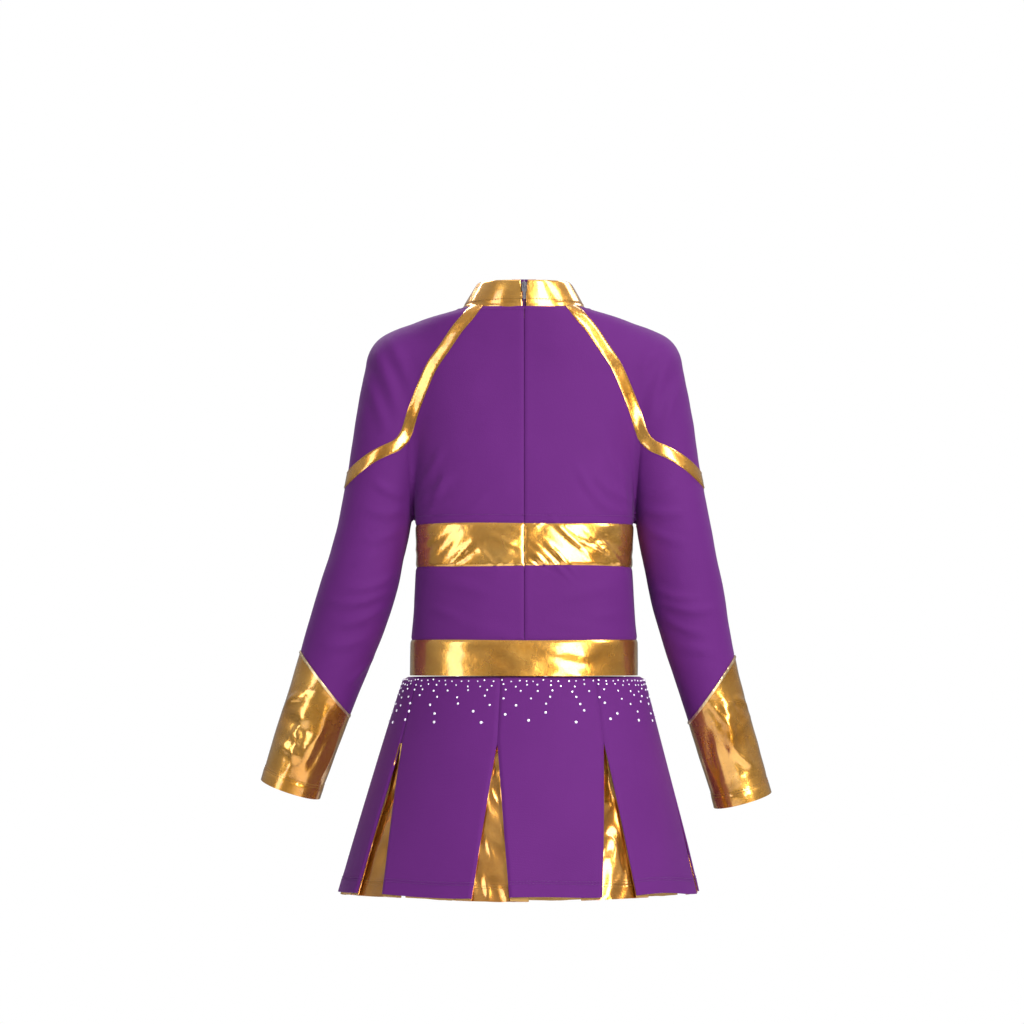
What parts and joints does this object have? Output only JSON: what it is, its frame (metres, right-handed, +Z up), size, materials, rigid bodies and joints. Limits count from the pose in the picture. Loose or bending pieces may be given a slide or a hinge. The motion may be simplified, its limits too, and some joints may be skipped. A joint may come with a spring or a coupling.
{
  "type": "cheer uniform",
  "caption": "Child's long-sleeved cheer dress with stand collar, taped raglan yokes, gold bands and cuffs, pleated skirt and back zip.",
  "frame": {"origin": "centre of the neck opening, level with the seam that joins the collar to the body", "axes": "+Z up, -Y the way the wearer faces, so the zip is on the +Y side; +X is the wearer's left"},
  "size_m": [0.5082, 0.2918, 0.6343],
  "materials": {
    "purple_knit": "matte",
    "gold_knit": "satin",
    "piping": "satin",
    "zip_cloth": "matte",
    "zip_plastic": "satin",
    "zip_metal": "polished",
    "crystal": "polished"
  },
  "bodies": {
    "dress": {"back_left": "purple_knit", "back_right": "purple_knit", "collar": "gold_knit", "cuff_left": "gold_knit", "cuff_piping_left": "piping", "cuff_piping_right": "piping", "cuff_right": "gold_knit", "front_panel": "purple_knit", "midriff_back_left": "purple_knit", "midriff_back_right": "purple_knit", "midriff_front": "purple_knit", "pleat_insert_1": "gold_knit", "pleat_insert_2": "gold_knit", "pleat_insert_3": "gold_knit", "pleat_insert_4": "gold_knit", "pleat_insert_5": "gold_knit", "pleat_insert_6": "gold_knit", "pleat_insert_7": "gold_knit", "pleat_insert_8": "gold_knit", "shoulder_tape_left": "gold_knit", "shoulder_tape_right": "gold_knit", "skirt_panel_1": "purple_knit", "skirt_panel_2": "purple_knit", "skirt_panel_3": "purple_knit", "skirt_panel_4": "purple_knit", "skirt_panel_5": "purple_knit", "skirt_panel_6": "purple_knit", "skirt_panel_7": "purple_knit", "skirt_panel_8": "purple_knit", "sleeve_left": "purple_knit", "sleeve_right": "purple_knit", "upper_band_back_left": "gold_knit", "upper_band_back_right": "gold_knit", "upper_band_front": "gold_knit", "waistband": "gold_knit", "yoke_left": "purple_knit", "yoke_right": "purple_knit", "zip_bottom_stop": "zip_metal", "zip_coil_left": "zip_plastic", "zip_coil_right": "zip_plastic", "zip_tape_left": "zip_cloth", "zip_tape_right": "zip_cloth", "zip_top_stop_left": "zip_metal", "zip_top_stop_right": "zip_metal"},
    "slider": {"zip_slider": "zip_metal"},
    "pull_tab": {"zip_pull_tab": "zip_metal"}
  },
  "joints": [
    {"name": "zip_slide", "type": "slide", "parent": "dress", "child": "slider", "axis": [0, 0.0599, -0.9982], "range_m": [0, 0.3341]},
    {"name": "pull_tab_hinge", "type": "hinge", "parent": "slider", "child": "pull_tab", "pos_m": [0, 0.05757, 0.01472], "axis": [1, 0, 0], "range_deg": [0, 160]}
  ]
}
